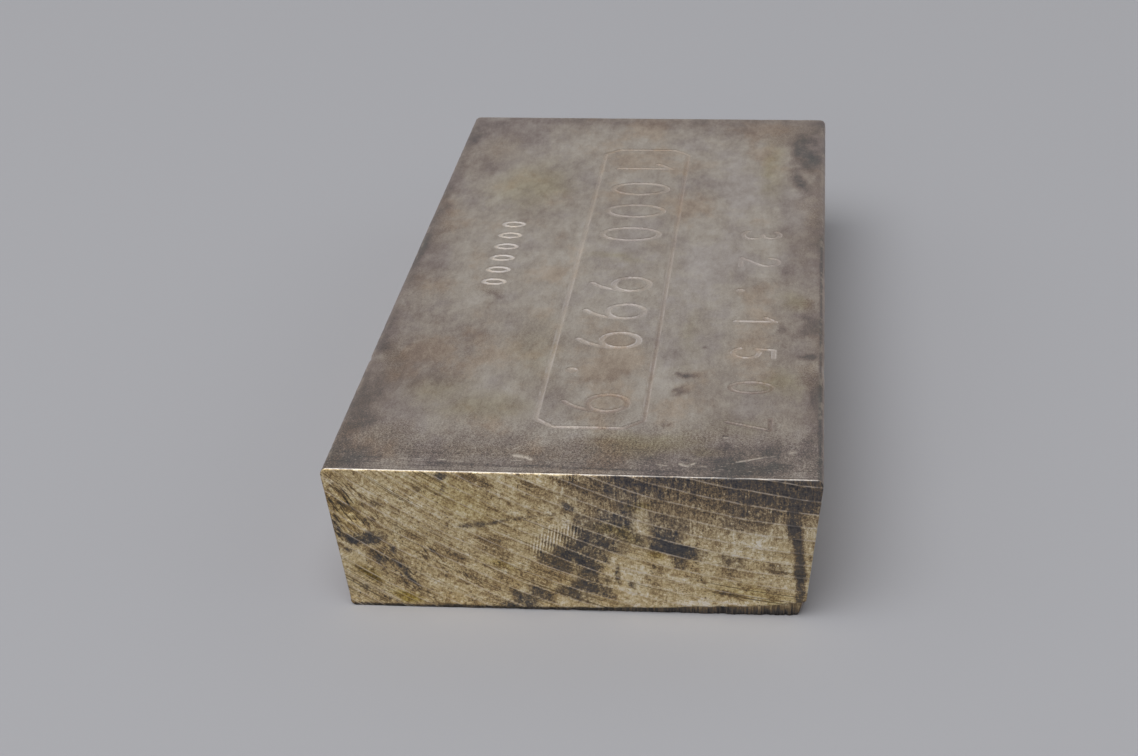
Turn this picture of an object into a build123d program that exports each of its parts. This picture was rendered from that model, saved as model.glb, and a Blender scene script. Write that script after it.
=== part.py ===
"""Metal ingot: a one-kilogram bar of fine silver, cast long and tapered, then sawn off at both ends.

The bar lies on its narrow face, as it lay in its mould, with its wide face up. X runs across the bar, Y along
it, away from the end that carries the torn strip, and Z up. The origin is at the middle of the base.
"""
import os

from build123d import *

# Driving dimensions, in millimetres
length = 117.0  # between the two sawn ends
top_width = 52.4  # across the wide face, to where its long edges would be sharp
height = 16.25
left_draft = 2.6  # how far the foot of the left side stands in under its top edge
right_draft = 1.85  # the same on the right side, which the mould left a little steeper

# Edges
top_edge_radius = 0.85  # long edges of the wide face
base_edge_radius = 0.7  # long edges of the base
arris = 0.15  # worn corner round each sawn end

# Torn strip at the foot of the near end: the saw stopped short of the base, and the last web was broken off
tear_height = 1.95  # at the right side, where the web was thickest
tear_depth = 0.5  # how far the torn face stands back from the sawn face there
tear_margin = 3.6  # sawn foot that is left whole beside the left side
tear_sag = 0.45  # how far the lip of the strip hangs below its own chord

# Stamped panel on the wide face: one pressed line round a long plain field
panel_width = 12.2
panel_corner_cut = 2.2  # the panel's corners are cut off at 45 degrees
panel_line_width = 0.5
panel_line_depth = 0.2
panel_line_taper = 30.0  # lean of the line's walls, in degrees
near_margin = 10.8  # plain face between the near end and the panel
far_margin = 14.4
panel_offset = 0.9  # the punch stood this far to the right of the middle

overrun = 3.0  # how far a cutting shape runs out of the bar
silver_density = 0.01049  # grams in a cubic millimetre

# Places worked out from the sizes
half_width = top_width / 2
left_foot = -half_width + left_draft
right_foot = half_width - right_draft
near_end = -length / 2
panel_length = length - near_margin - far_margin
panel_middle = near_end + near_margin + panel_length / 2

with BuildPart() as ingot:
    # Cast body: the mould's section, drawn along the bar
    with BuildSketch(Plane.XZ):
        with BuildLine():
            Polyline(
                (left_foot, 0),
                (right_foot, 0),
                (half_width, height),
                (-half_width, height),
                close=True,
            )
        make_face()
    extrude(amount=length / 2, both=True)

    # Long edges, as they came out of the mould and wore round in handling
    long_edges = ingot.edges().filter_by(Axis.Y)
    fillet(long_edges.group_by(Axis.Z)[-1], radius=top_edge_radius)
    fillet(ingot.edges().filter_by(Axis.Y).group_by(Axis.Z)[0], radius=base_edge_radius)

    # Sawn ends: flat, with the sharp corner left by the blade just broken
    sawn_ends = ingot.faces().filter_by(Axis.Y)
    chamfer(sawn_ends.edges(), length=arris)

    # Torn strip: its face swings in from the sawn plane about the left foot, and its lip is a hanging curve
    swing = Vector(right_foot - left_foot, tear_depth, 0)
    torn_plane = Plane(
        origin=(left_foot, near_end, 0),
        x_dir=swing,
        z_dir=swing.rotate(Axis.Z, -90),
    )
    with BuildSketch(torn_plane):
        with BuildLine():
            lip = SagittaArc((tear_margin, 0), (swing.length, tear_height), -tear_sag)
            Polyline(
                lip @ 1,
                (swing.length + overrun, tear_height),
                (swing.length + overrun, -overrun),
                (tear_margin, -overrun),
                lip @ 0,
            )
        make_face()
    extrude(amount=overrun, mode=Mode.SUBTRACT)

    # Stamped panel: a closed pressed line with leaning walls
    with BuildSketch(Plane.XY.offset(height)):
        with Locations((panel_offset, panel_middle)):
            Rectangle(panel_width, panel_length)
        panel = chamfer(vertices(), length=panel_corner_cut)
        offset(panel, amount=-panel_line_width, mode=Mode.SUBTRACT)
    extrude(amount=-panel_line_depth, taper=panel_line_taper, mode=Mode.SUBTRACT)

ingot.part.label = "ingot"

os.makedirs("parts", exist_ok=True)
export_step(ingot.part, "parts/ingot.step")

print(f"ingot: {ingot.part.volume * silver_density:.0f} g of fine silver")
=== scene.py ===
"""Looks of the metal ingot: a relief mesh of the tarnished silver bar, its material, a floor and soft light.

Lengths are in millimetres until a mesh, a light or the camera is made, and X, Y and Z are the part's own.
"""

import math

import bpy
import numpy as np
from mathutils import Matrix, Vector


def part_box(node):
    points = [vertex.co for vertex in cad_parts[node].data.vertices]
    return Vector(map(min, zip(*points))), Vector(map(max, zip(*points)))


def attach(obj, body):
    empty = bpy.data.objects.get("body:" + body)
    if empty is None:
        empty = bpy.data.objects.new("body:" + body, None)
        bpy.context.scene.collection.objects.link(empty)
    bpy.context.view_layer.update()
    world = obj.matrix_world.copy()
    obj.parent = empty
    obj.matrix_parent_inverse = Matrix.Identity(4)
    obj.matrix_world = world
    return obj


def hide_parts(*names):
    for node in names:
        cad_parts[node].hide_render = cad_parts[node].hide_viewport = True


MM = 0.001  # metres in a millimetre

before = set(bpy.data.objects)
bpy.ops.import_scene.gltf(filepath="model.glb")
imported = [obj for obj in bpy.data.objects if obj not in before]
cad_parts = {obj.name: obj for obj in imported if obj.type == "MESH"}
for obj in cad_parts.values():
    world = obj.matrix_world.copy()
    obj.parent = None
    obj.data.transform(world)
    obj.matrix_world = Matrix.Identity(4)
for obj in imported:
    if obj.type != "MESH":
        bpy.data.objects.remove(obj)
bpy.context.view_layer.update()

# The bar, as its solid has it
LOW, HIGH = (np.array(corner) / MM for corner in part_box("ingot"))
LENGTH = HIGH[1] - LOW[1]
HEIGHT = HIGH[2] - LOW[2]
NEAR_END = LOW[1]
TOP_WIDTH = 52.4
LEFT_DRAFT = 2.6
RIGHT_DRAFT = 1.85
TOP_EDGE_RADIUS = 0.85
BASE_EDGE_RADIUS = 0.7
ARRIS = 0.15
TEAR_DEPTH = 0.5
TEAR_MARGIN = 3.6
HALF_WIDTH = TOP_WIDTH / 2
LEFT_FOOT = -HALF_WIDTH + LEFT_DRAFT
RIGHT_FOOT = HALF_WIDTH - RIGHT_DRAFT

# The lattice that the mesh is cut from: cells along X, Y and Z, each 0.16 to 0.18 mm, and the largest block
CELLS = (320, 640, 96)
ROOT = 32

# Depth of each kind of relief
SAW_DEPTH = 0.055
SAW_UNEVEN = 0.012
SAW_PITS = 0.02
TORN_STREAKS = 0.03
SKIN_SWELL = 0.02
SKIN_GRAIN = 0.012
SKIN_PITS = 0.05
SIDE_RIPPLE = 0.02
SCRATCH_DEPTH = 0.06
NICK_DEPTH = 0.08
DENT_DEPTH = 0.16

# The torn strip: how long it takes to set in along the foot, and how far its right end stands in
TEAR_RUN = 13.0
CORNER_STEP = 0.4
CORNER_LEAN = 0.22


def smooth(value, low, high):
    """0 below low, 1 above high, and a soft step between them."""
    t = np.clip((value - low) / (high - low), 0, 1)
    return t * t * (3 - 2 * t)


def hashed(i, j, seed):
    """A repeatable number from 0 to 1 for each lattice point."""
    h = (i * 374761393 + j * 668265263 + seed * 974634777) & 0xFFFFFFFF
    h = ((h ^ (h >> 13)) * 1274126177) & 0xFFFFFFFF
    return ((h ^ (h >> 16)) & 0xFFFF) / 0xFFFF


def noise(u, v, seed, octaves=1):
    """Smooth noise from -1 to 1 with cells one unit wide, and finer octaves of half the height each.

    The seed is any whole number: calls with different seeds have nothing in common.
    """
    total, height, reach = 0, 1, 0
    for octave in range(octaves):
        i, j = np.floor(u).astype(np.int64), np.floor(v).astype(np.int64)
        fu, fv = smooth(u - i, 0, 1), smooth(v - j, 0, 1)
        low, high = (
            hashed(i, k, seed + octave) * (1 - fu) + hashed(i + 1, k, seed + octave) * fu for k in (j, j + 1)
        )
        total = total + height * (2 * (low * (1 - fv) + high * fv) - 1)
        reach += height
        u, v, height = 2 * u, 2 * v, height / 2
    return total / reach


def stroke_gap(x, y, x0, y0, x1, y1):
    """Distance to the straight line between two points."""
    dx, dy = x1 - x0, y1 - y0
    t = np.clip(((x - x0) * dx + (y - y0) * dy) / (dx * dx + dy * dy), 0, 1)
    return np.hypot(x - x0 - t * dx, y - y0 - t * dy)


def unit(vector):
    return vector / np.linalg.norm(vector)


# Section of the bar

def fillet_arc(corner, before, after, radius, steps=24):
    """Points of the arc that rounds a corner, from the side of the point before it to the side after it."""
    to_before, to_after = unit(before - corner), unit(after - corner)
    half = math.acos(np.clip(to_before @ to_after, -1, 1)) / 2
    centre = corner + unit(to_before + to_after) * radius / math.sin(half)
    start = corner + to_before * radius / math.tan(half) - centre
    stop = corner + to_after * radius / math.tan(half) - centre
    turn = math.pi - 2 * half
    shares = np.linspace(0, 1, 2 * steps + 1)[:, None]
    return centre + (np.sin((1 - shares) * turn) * start + np.sin(shares * turn) * stop) / math.sin(turn)


def section_sides():
    """The four sides of the rounded section, each from the middle of one corner to the middle of the next."""
    corners = np.array([(LEFT_FOOT, 0), (RIGHT_FOOT, 0), (HALF_WIDTH, HEIGHT), (-HALF_WIDTH, HEIGHT)])
    radii = (BASE_EDGE_RADIUS, BASE_EDGE_RADIUS, TOP_EDGE_RADIUS, TOP_EDGE_RADIUS)
    arcs = [fillet_arc(corners[k], corners[k - 1], corners[(k + 1) % 4], radii[k]) for k in range(4)]
    half = len(arcs[0]) // 2
    return [np.vstack((arcs[k][half:], arcs[(k + 1) % 4][:half + 1])) for k in range(4)]


def along(points, share):
    """The place and the outward normal at each share of a side's length."""
    reach = np.concatenate(([0], np.cumsum(np.linalg.norm(np.diff(points, axis=0), axis=1))))
    at = share * reach[-1]
    place = np.stack([np.interp(at, reach, points[:, k]) for k in (0, 1)], 1)
    slope = np.diff(points, axis=0) / np.diff(reach)[:, None]
    middles = (reach[1:] + reach[:-1]) / 2
    tangent = np.stack([np.interp(at, middles, slope[:, k]) for k in (0, 1)], 1)
    normal = np.stack((tangent[:, 1], -tangent[:, 0]), 1)
    return place, normal / np.linalg.norm(normal, axis=1)[:, None]


def section(across, up):
    """Places in the rounded section for shares across and up it, filled in from its four sides."""
    base, right, top, left = section_sides()
    low, east = along(base, across)[0], along(right, up)[0]
    high, west = along(top, 1 - across)[0], along(left, 1 - up)[0]
    a, c = across[:, None], up[:, None]
    corners = (
        (1 - a) * (1 - c) * base[0] + a * (1 - c) * base[-1]
        + a * c * top[0] + (1 - a) * c * top[-1]
    )
    return (1 - c) * low + c * high + (1 - a) * west + a * east - corners


# Stamped figures: single strokes in a cell 0.6 wide and 1 high

def bow(cx, cy, rx, ry, start, stop, steps=14):
    """An arc of an ellipse, between two angles in degrees."""
    turns = np.radians(np.linspace(start, stop, steps))
    return [(cx + rx * math.cos(t), cy + ry * math.sin(t)) for t in turns]


FIGURES = {
    "0": [bow(0.3, 0.5, 0.3, 0.5, 90, 450, 26)],
    "1": [[(0.08, 0.74), (0.34, 1.0), (0.34, 0.0)]],
    "2": [bow(0.3, 0.7, 0.29, 0.3, 170, -30) + [(0.0, 0.0), (0.6, 0.0)]],
    "3": [bow(0.28, 0.76, 0.27, 0.24, 150, -90), bow(0.28, 0.27, 0.31, 0.27, 90, -150)],
    "5": [[(0.56, 1.0), (0.1, 1.0), (0.05, 0.56)] + bow(0.28, 0.32, 0.31, 0.32, 120, -150)],
    "7": [[(0.0, 1.0), (0.6, 1.0), (0.2, 0.0)]],
    "9": [bow(0.3, 0.7, 0.29, 0.3, 0, 360, 22), bow(-0.1, 0.72, 0.69, 0.8, 0, -58)],
    ".": [bow(0.3, 0.05, 0.05, 0.05, 0, 360, 8)],
}

# Rows of figures on the wide face: text, foot in X, first figure's Y, height, pitch, stroke width and depth.
# They read towards the near end, with their heads to the right.
ROWS = (
    ("1000 999.9", -2.7, 38.4, 7.4, 8.6, 0.65, 0.17),
    ("32.1507", 15.6, 12.0, 4.7, 9.4, 0.5, 0.15),
    ("000000", -15.9, 14.2, 2.6, 4.0, 0.45, 0.2),
)
# Panel: middle in X and Y, width, length and what is cut off its corners, and its line's width and depth
PANEL = (0.9, -1.8, 12.2, 91.8, 2.2)
PANEL_LINE = (0.5, 0.18)


def row_strokes(text, foot, first, height, pitch):
    """The strokes of one row of figures, in X and Y on the wide face."""
    drawn = []
    for place, figure in enumerate(text):
        for points in FIGURES.get(figure, ()):
            drawn.append([(foot + y * height, first - place * pitch - x * height) for x, y in points])
    return drawn


def panel_stroke():
    """The middle of the pressed line round the panel."""
    x, y, width, length, cut = PANEL
    line = PANEL_LINE[0]
    half_x, half_y = (width - line) / 2, (length - line) / 2
    slant = cut - line * math.tan(math.pi / 8)
    points = []
    for side, end in ((1, 1), (-1, 1), (-1, -1), (1, -1)):
        ends = [(half_x, half_y - slant), (half_x - slant, half_y)]
        if side * end < 0:
            ends.reverse()
        points += [(x + side * a, y + end * b) for a, b in ends]
    return points + points[:1]


def stamp_segments():
    """Every straight piece of the stamped strokes: its ends, width, depth and the number of its stamp."""
    found = []
    stamps = [([panel_stroke()], *PANEL_LINE)]
    stamps += [(row_strokes(*row[:5]), *row[5:]) for row in ROWS]
    for kind, (lines, width, depth) in enumerate(stamps):
        for points in lines:
            found += [(*p, *q, width, depth, kind) for p, q in zip(points, points[1:])]
    return np.array(found)


SEGMENTS = stamp_segments()
STAMP_REACH = 3  # how far beside a stroke it is looked for


def stamp_distance(x, y):
    """Distance to the middle of the nearest stamped stroke, with that stroke's width, depth and kind."""
    best, nearest = np.full(len(x), 1e3), np.zeros(len(x), int)
    for k, (x0, y0, x1, y1) in enumerate(SEGMENTS[:, :4]):
        beside_x = (x > min(x0, x1) - STAMP_REACH) & (x < max(x0, x1) + STAMP_REACH)
        beside_y = (y > min(y0, y1) - STAMP_REACH) & (y < max(y0, y1) + STAMP_REACH)
        beside = np.nonzero(beside_x & beside_y)[0]
        gap = stroke_gap(x[beside], y[beside], x0, y0, x1, y1)
        closer = gap < best[beside]
        best[beside[closer]], nearest[beside[closer]] = gap[closer], k
    return best, *SEGMENTS[nearest, 4:].T


# Saw marks: arcs about the blade's middle, and how far out each ridge between two strokes of the saw lies

SAW_MIDDLE = (32.3, 93.5)
RIDGES = (
    76.8, 78.4, 80.0, 81.6, 83.2, 84.7, 86.3, 87.7, 89.2, 90.6, 92.0, 93.3, 94.7,
    96.1, 97.4, 98.6, 100.2, 101.6, 102.9, 104.3, 105.6, 106.9, 108.2, 109.5,
)
FIRST_RIDGE = -2
FAR_SAW_MIDDLE = (-24.0, 98.0)


def saw_grain(x, z, middle, seed):
    """Distance from the blade's middle, way along its arc, and the count of ridges, with the saw's wander."""
    out = np.hypot(x - middle[0], z - middle[1])
    way = np.arctan2(x - middle[0], middle[1] - z) * RIDGES[0]
    wander = 0.13 * noise(way / 6, out / 4, seed) + 0.05 * noise(way / 1.7, out / 2, seed + 5)
    return out, way, np.interp(out + wander, RIDGES, np.arange(len(RIDGES))) + FIRST_RIDGE


# Stains on the near sawn face that lie between two ridges: the ridge above, from X, to X, strength
BAND_STAINS = {"slate": (
    (-2, 14, 27, 0.8), (-1, 16, 27, 0.8), (-1, 9.4, 16, 0.45), (0, 6.6, 13, 0.5), (0, 16.5, 27, 0.75),
    (1, 3.6, 9.6, 0.55), (1, 16.5, 22, 0.6), (2, 3.4, 7.2, 0.6), (2, 16, 20.3, 0.5), (3, 4.8, 6.6, 0.7),
    (3, 8, 12.5, 0.45), (4, 2.7, 6.3, 0.85), (4, 8.8, 11.3, 0.95), (5, 0.8, 7.9, 0.62), (5, 8.4, 13, 1.25),
    (5, 12.6, 14.1, 0.6), (5, 15.6, 18.3, 0.6), (6, 0.5, 5.4, 0.8), (6, 10.4, 12, 0.8), (5, 21, 22.2, 0.7),
    (7, -0.6, 4.2, 0.85), (8, -2, 3, 1), (9, -3.2, 0, 0.7), (9, 0.5, 2.8, 0.85), (9, 3.2, 4.1, 0.6),
    (10, 0.4, 4.1, 0.85), (11, -1.1, 1.5, 0.85), (11, 1.9, 2.6, 0.6), (12, -4.7, -1.6, 0.75),
    (13, -5.9, -3.3, 0.85), (14, -7.4, -5.7, 0.7),
), "brown": (
    (-2, 8, 27, 0.65), (-1, 5, 27, 0.65), (0, 3.5, 27, 0.6), (1, 3, 26, 0.55), (2, 8, 22.5, 0.5),
    (3, -6.8, -5.2, 1), (4, -4.9, -3.3, 0.8), (4, -3.2, -2.2, 0.6), (1, -1.6, 1, 0.7), (2, -0.6, 3.4, 0.55),
    (3, -1.2, 4.8, 0.5), (4, 0.8, 2.9, 0.5), (4, 13.2, 13.8, 0.7), (4, 14.6, 15.7, 0.6), (3, 9, 15.5, 0.5),
    (6, 12.3, 13.6, 0.5), (6, 15.8, 17.4, 0.7), (5, 19, 21, 0.4), (7, 5.6, 6.6, 0.5), (9, -3.4, 0, 0.6),
    (10, -4.2, -0.6, 0.7), (10, -9, -6.2, 0.6), (11, -6, -2, 0.5), (12, -8.4, -6.4, 0.6),
    (13, -11, -9.4, 0.55), (14, -9.4, -7, 0.5), (7, 8, 9.4, 0.7), (8, 7, 9.6, 0.6), (9, 8.2, 10, 0.6),
    (8, 10.5, 12.6, 0.5), (11, -15.4, -12.8, 0.5), (16, -13.5, -10.5, 0.4), (18, -22, -17.5, 0.5),
    (8, 15.8, 18.6, 0.45), (9, 14.5, 17.4, 0.5), (12, -13.9, -11.2, 0.6), (10, -9.6, -7.8, 0.6),
)}

# Single stains: X, Z on the near end or Y on top, half length, half width, strength, and lean in degrees
NEAR_STAINS = {"slate": (
    (-21.3, 8.3, 1.5, 0.65, 0.85, -8), (-24.3, 9.3, 1.1, 0.45, 0.55, -50), (-23.4, 8.2, 1.1, 0.5, 0.85, -20),
    (-20.3, 5.8, 0.8, 0.5, 0.6, -40), (-18.9, 6.8, 0.7, 0.4, 0.5, -50), (-18.1, 4.8, 1.3, 0.3, 0.65, -42),
    (-17.1, 3.5, 1.3, 0.22, 0.9, -42), (-23.6, 6.6, 0.8, 0.4, 0.5, -20), (-18.3, 9.6, 0.9, 0.5, 0.35, -35),
    (-20.4, 12.4, 0.5, 0.35, 0.45), (-15.8, 13.9, 0.7, 0.4, 0.3, -35), (-13.3, 15.5, 0.7, 0.45, 0.8),
    (-13.1, 14, 0.4, 0.6, 0.45, 20), (-22.1, 2.1, 0.45, 0.4, 0.7), (-0.3, 12.4, 0.9, 0.4, 0.8, -25),
    (24.8, 13.8, 1, 1.2, 0.8), (4.95, 4.5, 0.35, 1.3, 0.7), (6.4, 3.3, 0.4, 0.5, 0.6),
), "brown": (
    (-24.9, 12, 0.4, 2.6, 0.35, 12), (-25, 15.4, 0.9, 0.6, 0.5), (-18.5, 5.2, 5, 2, 0.4, -40),
    (-21, 1.6, 2.6, 0.9, 0.35, -25), (-21.7, 3.8, 1.3, 0.6, 0.6, -30), (0.5, 15.1, 2.6, 0.7, 0.85, -10),
    (13.5, 4.1, 1, 0.3, 0.5, -15), (16.2, 2.7, 1.2, 0.35, 0.75, -12), (18.4, 3.4, 0.9, 0.3, 0.7, -15),
    (20.9, 2.5, 0.9, 0.3, 0.6, -10), (12, 4.7, 0.8, 0.25, 0.5, -15), (21.6, 5.3, 0.8, 0.22, 0.9, -12),
    (10.8, 9.7, 0.5, 0.6, 0.6), (-20.3, 12.4, 0.6, 0.4, 0.6), (-10.6, 15.3, 1.3, 0.5, 0.95, -10),
    (-8.8, 14.7, 0.9, 0.55, 0.95, -30), (-15.9, 14.1, 1.2, 0.3, 0.5, -30), (-17.9, 6.9, 0.8, 0.5, 0.5, -30),
    (-20.6, 6.2, 1.4, 0.9, 0.75, -35), (-18.6, 5.6, 1.5, 0.8, 0.6, -45), (-16.7, 8.7, 0.8, 0.55, 1.1, -25),
    (-13.4, 4.1, 0.6, 0.35, 0.6, -30), (-10.7, 3.9, 1.6, 0.25, 0.6, -30), (-8.5, 2.7, 0.9, 0.4, 0.5, -25),
    (-14, 6.5, 1.3, 0.35, 0.7, -35), (-8.3, 8, 1.5, 0.6, 0.75, -30), (-15.2, 5.9, 0.7, 0.3, 0.6, -30),
    (-7.6, 5.2, 0.9, 0.35, 0.75, -15), (23.6, 2.4, 0.5, 0.5, 0.7), (-19.9, 0.9, 1.1, 0.4, 0.55, -15),
    (8.9, 7, 0.9, 0.5, 0.55), (20.5, 3.3, 1.6, 0.35, 0.5, -12), (-0.6, 11.7, 0.6, 0.4, 0.6),
    (9, 4.9, 1.2, 0.5, 0.5, -15),
), "olive": (
    (-21.6, 3.8, 1.4, 0.5, 0.95, -30), (-17.6, 1.3, 1.7, 0.5, 0.95, -15), (-23.6, 11.3, 1.4, 2.2, 0.25, 20),
    (-7.3, 5.4, 1.6, 0.4, 0.5, -20), (7, 12.6, 1.2, 0.5, 0.5), (19, 2.6, 4, 0.9, 0.35, -8),
    (5, 9.6, 2.4, 0.6, 0.5, -20), (-12, 13, 5, 1.6, 0.25, -28), (8.9, 6.9, 0.8, 0.4, 0.6),
), "pale": (
    (15, 1.35, 3.2, 0.4, 0.9, 3), (-0.9, 1.2, 0.8, 0.4, 0.6), (-3.2, 0.72, 0.9, 0.1, 1, 2),
    (19.7, 9, 0.7, 1.2, 0.3, -20), (-21.4, 13.6, 1, 0.5, 0.45, -35), (-14.6, 3, 1.2, 0.3, 0.4, -30),
    (22, 5.6, 0.6, 1.3, 0.35), (-12, 2.2, 1, 0.3, 0.5, -35), (-17.4, 6.6, 0.9, 0.3, 0.4, -35),
    (6.5, 4, 3, 2, 0.35, -15),
)}
TOP_STAINS = {"slate": (
    (23.9, 44, 1.9, 9, 1, 3), (22.6, 32, 1, 6, 0.9, 8), (-24.9, 50, 1.6, 6.5, 0.6), (-22.5, 55, 4, 2.6, 0.5),
    (-25.2, 22, 1, 11, 0.6), (-25.3, 3, 1, 8, 0.8), (-24.8, -44, 1.9, 10, 0.75),
    (-23.6, -55.4, 2.6, 3.4, 0.8), (19, -56.6, 5.2, 2.2, 1), (20.3, -52.4, 3, 1.6, 0.75, 10),
    (16.8, -51.8, 1.8, 1.2, 0.5, -10), (0.6, -34, 3.2, 1.6, 0.35), (2.4, -35, 1.3, 0.7, 0.4),
    (10.2, -33.1, 0.8, 0.9, 1.1), (11.6, -32.9, 0.5, 0.6, 1), (10, -37.6, 0.65, 1.5, 0.9),
    (9.2, -46, 0.6, 1.3, 0.6), (12.4, -25.5, 0.4, 1.8, 0.7), (23.6, -18, 1.5, 5, 0.6, 5),
    (21, -20, 0.5, 1.8, 0.65), (24, -27.4, 1.1, 1.1, 0.9), (8.9, -27, 0.4, 1.2, 0.35),
    (21, -2.6, 0.7, 3.6, 0.5), (24.8, -40, 0.9, 3, 0.55), (-21.5, -26.2, 0.9, 1.5, 0.45),
    (-17.6, -35.2, 1.8, 2.6, 0.35, 10), (-14.6, -11, 1.8, 1.3, 0.45), (-24, 36, 1.5, 8, 0.35),
    (12, 20, 0.9, 6, 0.3), (24.6, -51, 1.2, 5, 0.6),
), "brown": (
    (-23.2, -30, 1.4, 5.5, 0.6), (24.6, -34, 1.2, 5, 0.6), (21.5, 51, 4.5, 5.5, 0.5),
    (24.3, 18, 1.8, 13, 0.45), (-23.4, 12, 1.4, 9, 0.35), (-20, 44, 3, 9, 0.35), (-8, -53.5, 16, 1.7, 0.5),
    (4, -52, 6, 2.2, 0.55), (-20.5, -50, 2.5, 3.5, 0.45), (23.6, -12, 0.8, 2.4, 0.5), (14, -49.5, 4, 2, 0.35),
    (-14.6, -10, 1.6, 1.4, 0.4),
), "olive": (
    (-13.2, 28, 4.5, 8, 0.55, -8), (-11.5, -42.8, 4.5, 2.6, 0.4), (-17.2, -38, 3, 3, 0.35),
    (19.3, 36, 1.4, 11, 0.6), (22.2, -11, 1.2, 2.5, 0.5), (-7, -27, 2.6, 8, 0.25), (10.6, -23, 1, 7, 0.3),
    (16, -47, 3, 2, 0.3), (0, 2.2, 3, 1, 0.5, -15), (8.5, -50.8, 5.5, 2.2, 0.6), (21.5, -35, 2, 3.5, 0.5),
    (14, -53, 2.5, 1.2, 0.5),
), "shade": (
    (5, 58, 30, 3.5, 1), (-20, 50, 6, 8, 0.5), (-22, 36, 3, 14, 0.5), (-22, 54, 3, 5, 0.8),
    (11, 53, 5, 4, 0.45), (-25, -38, 1.6, 6, 0.7), (22.6, -50, 3, 4, 0.6), (12, -57.6, 5, 1.6, 0.9),
    (-24.4, -54.5, 2, 4, 0.7), (17, 37, 2, 5, 0.5), (22.3, 9, 2.4, 9, 0.6), (22.6, -18, 2, 9, 0.4),
    (23.6, -46, 2.6, 8, 0.7), (18, -54.5, 7, 2.6, 0.55), (1, -49.5, 2.2, 1.4, 0.3), (2, -56, 4, 1.3, 0.9),
    (9.2, -54.5, 2, 1.5, 0.7), (-24, 0, 3, 15, 0.75), (-22.5, -30, 4.5, 17, 0.95), (-15.5, -25, 2.5, 9, 0.55),
    (-5, -37, 3, 4, 0.7), (-5, -55.6, 5, 1.4, 0.6), (-8, -50, 3, 1.6, 0.4),
), "pale": (
    (-9, 46, 5, 4, 0.5), (-9, -10, 4, 5, 0.5), (11, 2, 2.6, 10, 0.5), (8.2, -39.5, 1, 4.5, 0.5),
    (15, 26, 3, 5, 0.4), (-5.4, 4, 0.5, 9, 0.6), (1.5, -40.5, 3, 3.5, 0.5), (-18, -47, 2.6, 1.6, 0.3),
    (-5.3, -54.8, 0.9, 0.35, 1, -25), (17.8, -0.8, 1.8, 2.4, 0.5), (17.4, 8, 1.2, 3, 0.4),
    (11, -42, 6, 6.5, 0.4), (4.6, -47.5, 2.6, 3, 0.5), (-0.8, -49, 4, 2.6, 0.6), (5, -36, 2, 3, 0.4),
    (10, -30, 7, 5, 0.35),
)}

# Patches of the near end where each tooth of the blade left an upright mark
COMB = (
    (0.4, 9.6, 0.9, 0.8, 1, -20), (-1, 9, 1.2, 0.8, 1, -20), (-2.4, 8.2, 1.1, 0.8, 1, -20),
    (-3.5, 7.5, 0.8, 0.6, 0.9, -20), (1.2, 7.3, 1.5, 0.5, 0.35, -18), (-0.3, 15.5, 1.5, 0.5, 0.4),
)

# Patches of the near end scored by a rough edge that slid across it
SCORED = (
    (-23.4, 12.2, 1.9, 2.6, 1, 30), (-24.6, 9.4, 0.9, 1.6, 0.8, 20), (-21.2, 10, 1.6, 1.2, 0.6, 30),
    (-17.6, 3.6, 1.9, 0.7, 0.9, -40), (-19.6, 5.6, 1.6, 1.3, 0.6, -40), (-14.6, 6.4, 1.9, 0.8, 0.6, -35),
    (-11.5, 4.2, 2.4, 0.6, 0.45, -30),
)

# Straight strokes, in X and Z on the near end or X and Y on top: start, stop, reach, strength or depth
NEAR_GOUGES = (
    (-24.8, 14.1, -23.6, 12.6, 0.34, 0.1), (-23.6, 12.6, -22.4, 10.8, 0.36, 0.12),
    (-22.4, 10.8, -21.4, 9.4, 0.24, 0.1), (-25.3, 13.6, -24.4, 12.5, 0.26, 0.08),
    (-24.4, 12.5, -23.1, 11.1, 0.28, 0.09), (-24, 13.5, -23.1, 12.1, 0.3, 0.09),
    (-23.1, 12.1, -22, 10.5, 0.3, 0.09), (-22.3, 11.5, -21.4, 10.8, 0.24, 0.07),
    (-21.7, 12.2, -21, 11.4, 0.22, 0.07), (-23.8, 10.4, -22.3, 10.3, 0.24, 0.06),
    (-18.2, 4.1, -16.5, 2.6, 0.22, 0.06), (-24.9, 11.4, -24.6, 10, 0.3, 0.07),
)
NEAR_STREAKS = (
    (23.1, 13.6, 23, 11, 1.25, 1.1), (23, 11, 23.4, 9.3, 1.35, 1.1), (23.4, 9.3, 23.7, 8, 1.05, 1.15),
    (23.7, 8, 23.75, 6.4, 0.7, 1.1), (23.75, 6.4, 23.9, 4.6, 1.1, 1.15), (23.9, 4.6, 23.9, 2.2, 0.95, 1),
    (-14.3, 9.7, -11.4, 9.8, 0.4, 0.25), (-11.4, 9.8, -9, 10.1, 0.7, 0.62), (-9, 10.1, -7, 10.6, 0.5, 0.5),
    (-7, 10.6, -5, 11, 0.35, 0.4), (-5, 11, -1.6, 11.5, 0.35, 0.36),
)
NICK = (11.4, -54.4, 12.0, -54.7, 0.65, 1.0)
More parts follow.
